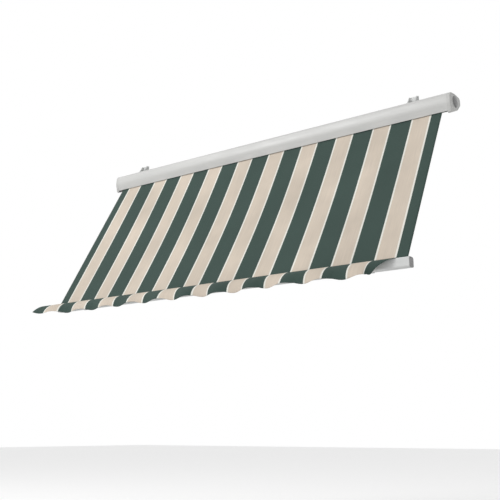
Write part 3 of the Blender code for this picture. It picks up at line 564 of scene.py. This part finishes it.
class AWNING_OT_finish(bpy.types.Operator):
    """Paint, cast metal, steel and plastic for the frame's own nodes"""
    bl_idname = "awning.finish"
    bl_label = "Finishes"

    def execute(self, context):
        finish = context.scene.awning_finish
        cloth = context.scene.awning_cloth
        finishes = {
            "hood_paint": powder_coat("hood powder coat", finish.hood, 0.42),
            "cap_paint": powder_coat("cap powder coat", finish.cap, 0.46),
            "bar_paint": powder_coat("bar powder coat", finish.bar, 0.36),
            "arm_paint": powder_coat("arm powder coat", finish.bar, 0.44),
            "cast_metal": cast_metal("cast aluminium", (0.55, 0.55, 0.55), 0.46),
            "zinc_steel": plated_steel("zinc plated steel", finish.steel, 0.34),
            "motor_metal": cast_metal("motor tube", (0.42, 0.43, 0.44), 0.40),
            "grey_plastic": moulded("grey plastic", (0.30, 0.30, 0.30), 0.55),
            "striped_cloth": moulded("welt cord", cloth.beige, 0.80),
        }
        slots = {row["node"]: row["material_slot"] for row in frame["record"]["subparts"]}
        for name, node in frame["nodes"].items():
            node.data.materials.clear()
            node.data.materials.append(finishes[slots[name]])
        return {"FINISHED"}


class AWNING_OT_fittings(bpy.types.Operator):
    """Screws and dark domes on the end caps, and the near-black rubber lip under the hood's edge, whose colours
    also paint in shade on the caps' faces and the shadow line under the hood
    """
    bl_idname = "awning.fittings"
    bl_label = "Fittings"

    HEAD = 0.0045
    HEAD_HEIGHT = 0.0022
    HEAD_SINK = 0.0011
    FRONT_SCREW = (0.032, 0.034)
    BACK_SCREW = (0.034, 0.036)
    LOW_SCREW = (0.045, 0.084)
    DOME = 0.040
    DOME_HEIGHT = 0.012
    DOME_SINK = 0.001
    DOME_PLACE = (0.094, 0.057)
    LIP_DEPTH = 0.006
    LIP_HEIGHT = 0.0018
    LIP_CLEARANCE = 0.0013
    LIP_END = 0.012

    def execute(self, context):
        finish = context.scene.awning_finish
        steel = plated_steel("screw steel", finish.steel, 0.30)
        # The domes' dark grey is partly painted shade: it stands in for the shading on the caps' end faces
        plastic = moulded("cap dome plastic with painted shade", (0.22, 0.22, 0.22), 0.26)
        for side in ("left", "right"):
            low, high = corners(f"end_cap_{side}")
            face = high.x if side == "right" else low.x
            sign = 1 if side == "right" else -1
            spots = (
                (low.y + self.FRONT_SCREW[0], high.z - self.FRONT_SCREW[1]),
                (high.y - self.BACK_SCREW[0], high.z - self.BACK_SCREW[1]),
                (high.y - self.LOW_SCREW[0], high.z - self.LOW_SCREW[1]),
            )
            for number, (back, rise) in enumerate(spots):
                place = Vector((face - sign * self.HEAD_SINK, back, rise))
                piece = self.screw(f"cap_screw_{side}_{number + 1}", place, sign)
                piece.data.materials.append(steel)
                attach(piece, "cassette")
            # A dark dome on each cap's face, whose dark grey paints in the shade there
            back, rise = high.y - self.DOME_PLACE[0], high.z - self.DOME_PLACE[1]
            place = Vector((face - sign * self.DOME_SINK, back, rise))
            piece = self.dome(f"cap_dome_with_painted_shade_{side}", place, sign)
            piece.data.materials.append(plastic)
            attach(piece, "cassette")
        self.make_lip_seal_and_shadow_line()
        return {"FINISHED"}

    def screw(self, name, place, sign):
        """A pan head with a round recess, facing along X."""
        bpy.ops.object.select_all(action="DESELECT")
        bpy.ops.mesh.primitive_cylinder_add(vertices=24, radius=self.HEAD, depth=self.HEAD_HEIGHT)
        piece = bpy.context.active_object
        piece.name = name
        bm = bmesh.new()
        bm.from_mesh(piece.data)
        top = max(bm.faces, key=lambda face: face.calc_center_median().z)
        bmesh.ops.bevel(bm, geom=list(top.edges), offset=self.HEAD_HEIGHT * 0.45, segments=3, affect="EDGES")
        top = max(bm.faces, key=lambda face: face.calc_center_median().z)
        bmesh.ops.inset_individual(bm, faces=[top], thickness=self.HEAD * 0.28)
        pushed = bmesh.ops.extrude_discrete_faces(bm, faces=[top])["faces"]
        bmesh.ops.translate(bm, verts=pushed[0].verts, vec=(0, 0, -self.HEAD_HEIGHT * 0.5))
        turn = Matrix.Translation(place) @ Matrix.Rotation(radians(90 * sign), 4, "Y")
        bm.transform(turn)
        bmesh.ops.recalc_face_normals(bm, faces=bm.faces)
        bm.to_mesh(piece.data)
        bm.free()
        bpy.ops.object.shade_smooth_by_angle(angle=radians(35))
        return piece

    def dome(self, name, place, sign):
        """A low round cover on the cap's face, facing along X."""
        bpy.ops.object.select_all(action="DESELECT")
        bpy.ops.mesh.primitive_uv_sphere_add(segments=64, ring_count=32, radius=1)
        piece = bpy.context.active_object
        piece.name = name
        bm = bmesh.new()
        bm.from_mesh(piece.data)
        lower = [vert for vert in bm.verts if vert.co.z < -0.001]
        bmesh.ops.delete(bm, geom=lower, context="VERTS")
        bmesh.ops.holes_fill(bm, edges=bm.edges)
        shape = Matrix.Diagonal((self.DOME, self.DOME, self.DOME_HEIGHT, 1))
        turn = Matrix.Translation(place) @ Matrix.Rotation(radians(90 * sign), 4, "Y")
        bm.transform(turn @ shape)
        bmesh.ops.recalc_face_normals(bm, faces=bm.faces)
        bm.to_mesh(piece.data)
        bm.free()
        bpy.ops.object.shade_smooth_by_angle(angle=radians(35))
        return piece

    def make_lip_seal_and_shadow_line(self):
        """A soft near-black strip along the inside of the hood's lip, just clear of the cover; its near-black also
        paints in the shadow line where the cover leaves the hood.
        """
        low, high = corners("hood")
        bpy.ops.object.select_all(action="DESELECT")
        bpy.ops.mesh.primitive_cube_add(size=1)
        piece = bpy.context.active_object
        piece.name = "lip_seal_and_shadow_line"
        lip = COVER_TOP - UP * (LIP_FROM_ROLLER - self.LIP_DEPTH)
        bm = bmesh.new()
        bm.from_mesh(piece.data)
        length = high.x - low.x - self.LIP_END
        for vert in bm.verts:
            height = self.LIP_CLEARANCE + self.LIP_HEIGHT * (vert.co.z + 0.5)
            spot = lip + UP * self.LIP_DEPTH * vert.co.y + OUT * height
            vert.co = Vector((length * vert.co.x, spot.y, spot.z))
        bmesh.ops.bevel(bm, geom=list(bm.edges), offset=0.0004, segments=2, affect="EDGES")
        bmesh.ops.recalc_face_normals(bm, faces=bm.faces)
        bm.to_mesh(piece.data)
        bm.free()
        # Near-black rubber: a seal whose colour also stands in for the painted shadow line under the hood's lip
        piece.data.materials.append(moulded("lip rubber and painted shadow", (0.03, 0.03, 0.03), 0.6))
        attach(piece, "cassette")


class AWNING_OT_stage(bpy.types.Operator):
    """A plain pale floor, soft light, a white background and the photograph's camera"""
    bl_idname = "awning.stage"
    bl_label = "Stage"

    FLOOR_LEVEL = -2.9
    FLOOR_SIZE = 60
    FLOOR_GLOW = 0.35
    EYE = (3.3222, -4.8801, -2.2101)
    YAW = 36.186
    TILT = 12.852
    LENS = 57.68
    AIM = (0, -0.5, -0.6)
    WORLD_LIGHT = 0.45

    def execute(self, context):
        scene = context.scene
        scene.view_settings.view_transform = "Standard"
        camera = bpy.data.cameras.new("camera")
        camera.lens = self.LENS
        camera.sensor_width = 36
        camera.clip_end = 100
        eye = bpy.data.objects.new("camera", camera)
        scene.collection.objects.link(eye)
        eye.location = self.EYE
        eye.rotation_euler = (radians(90 + self.TILT), 0, radians(self.YAW))
        scene.camera = eye
        self.lamp(scene, "key", (-3.5, -6.5, 4.0), 3.5, 330)
        self.lamp(scene, "fill", (5.5, -4.0, -1.0), 4.0, 35)
        self.make_world(scene)
        self.make_floor(scene)
        return {"FINISHED"}

    def lamp(self, scene, name, place, size, power):
        """A wide soft lamp aimed at the middle of the awning."""
        light = bpy.data.lights.new(name, "AREA")
        light.size = size
        light.energy = power
        lamp = bpy.data.objects.new(name, light)
        lamp.location = place
        aim = Vector(self.AIM) - Vector(place)
        lamp.rotation_euler = aim.to_track_quat("-Z", "Y").to_euler()
        scene.collection.objects.link(lamp)

    def make_world(self, scene):
        """White to the camera and in reflections, and softer as light."""
        world = bpy.data.worlds.new("studio")
        world.use_nodes = True
        scene.world = world
        tree = world.node_tree
        background = tree.nodes["Background"]
        background.inputs["Color"].default_value = (1, 1, 1, 1)
        path = tree.nodes.new("ShaderNodeLightPath")
        mirrored = tree.nodes.new("ShaderNodeMath")
        mirrored.operation = "MAXIMUM"
        tree.links.new(path.outputs["Is Glossy Ray"], mirrored.inputs[0])
        tree.links.new(path.outputs["Is Transmission Ray"], mirrored.inputs[1])
        shown = tree.nodes.new("ShaderNodeMath")
        shown.operation = "MAXIMUM"
        tree.links.new(path.outputs["Is Camera Ray"], shown.inputs[0])
        tree.links.new(mirrored.outputs[0], shown.inputs[1])
        strength = tree.nodes.new("ShaderNodeMapRange")
        strength.inputs["To Min"].default_value = self.WORLD_LIGHT
        strength.inputs["To Max"].default_value = 1.0
        tree.links.new(shown.outputs[0], strength.inputs["Value"])
        tree.links.new(strength.outputs["Result"], background.inputs["Strength"])

    def make_floor(self, scene):
        """A wide pale floor, well below the awning."""
        bpy.ops.object.select_all(action="DESELECT")
        bpy.ops.mesh.primitive_plane_add(size=self.FLOOR_SIZE, location=(0, 0, self.FLOOR_LEVEL))
        floor = bpy.context.active_object
        floor.name = "floor"
        nodes = Nodes("floor", 0.9)
        nodes.shader.inputs["Base Color"].default_value = (0.93, 0.93, 0.93, 1)
        nodes.shader.inputs["Emission Color"].default_value = (1, 1, 1, 1)
        seen = nodes.add("ShaderNodeLightPath").outputs["Is Camera Ray"]
        glow = nodes.math("MULTIPLY", seen, self.FLOOR_GLOW)
        nodes.link(glow, nodes.shader.inputs["Emission Strength"])
        floor.data.materials.append(nodes.material)


class AWNING_PT_panel(bpy.types.Panel):
    """Lists the awning's sizes, colours and steps"""
    bl_idname = "AWNING_PT_panel"
    bl_label = "Folding arm awning"
    bl_space_type = "VIEW_3D"
    bl_region_type = "UI"
    bl_category = "Awning"

    def draw(self, context):
        for group in (context.scene.awning_cloth, context.scene.awning_finish):
            for name in group.__annotations__:
                self.layout.prop(group, name)
        for operator in OPERATORS:
            self.layout.operator(operator.bl_idname)


OPERATORS = (AWNING_OT_finish, AWNING_OT_cover, AWNING_OT_valance, AWNING_OT_fittings, AWNING_OT_stage)
CLASSES = (AwningCloth, AwningFinish, *OPERATORS, AWNING_PT_panel)


def register():
    for kind in CLASSES:
        bpy.utils.register_class(kind)
    bpy.types.Scene.awning_cloth = bpy.props.PointerProperty(type=AwningCloth)
    bpy.types.Scene.awning_finish = bpy.props.PointerProperty(type=AwningFinish)


def unregister():
    del bpy.types.Scene.awning_cloth
    del bpy.types.Scene.awning_finish
    for kind in reversed(CLASSES):
        bpy.utils.unregister_class(kind)


def main():
    register()
    bpy.ops.awning.finish()
    bpy.ops.awning.cover()
    bpy.ops.awning.valance()
    bpy.ops.awning.fittings()
    bpy.ops.awning.stage()


if __name__ == "__main__":
    main()
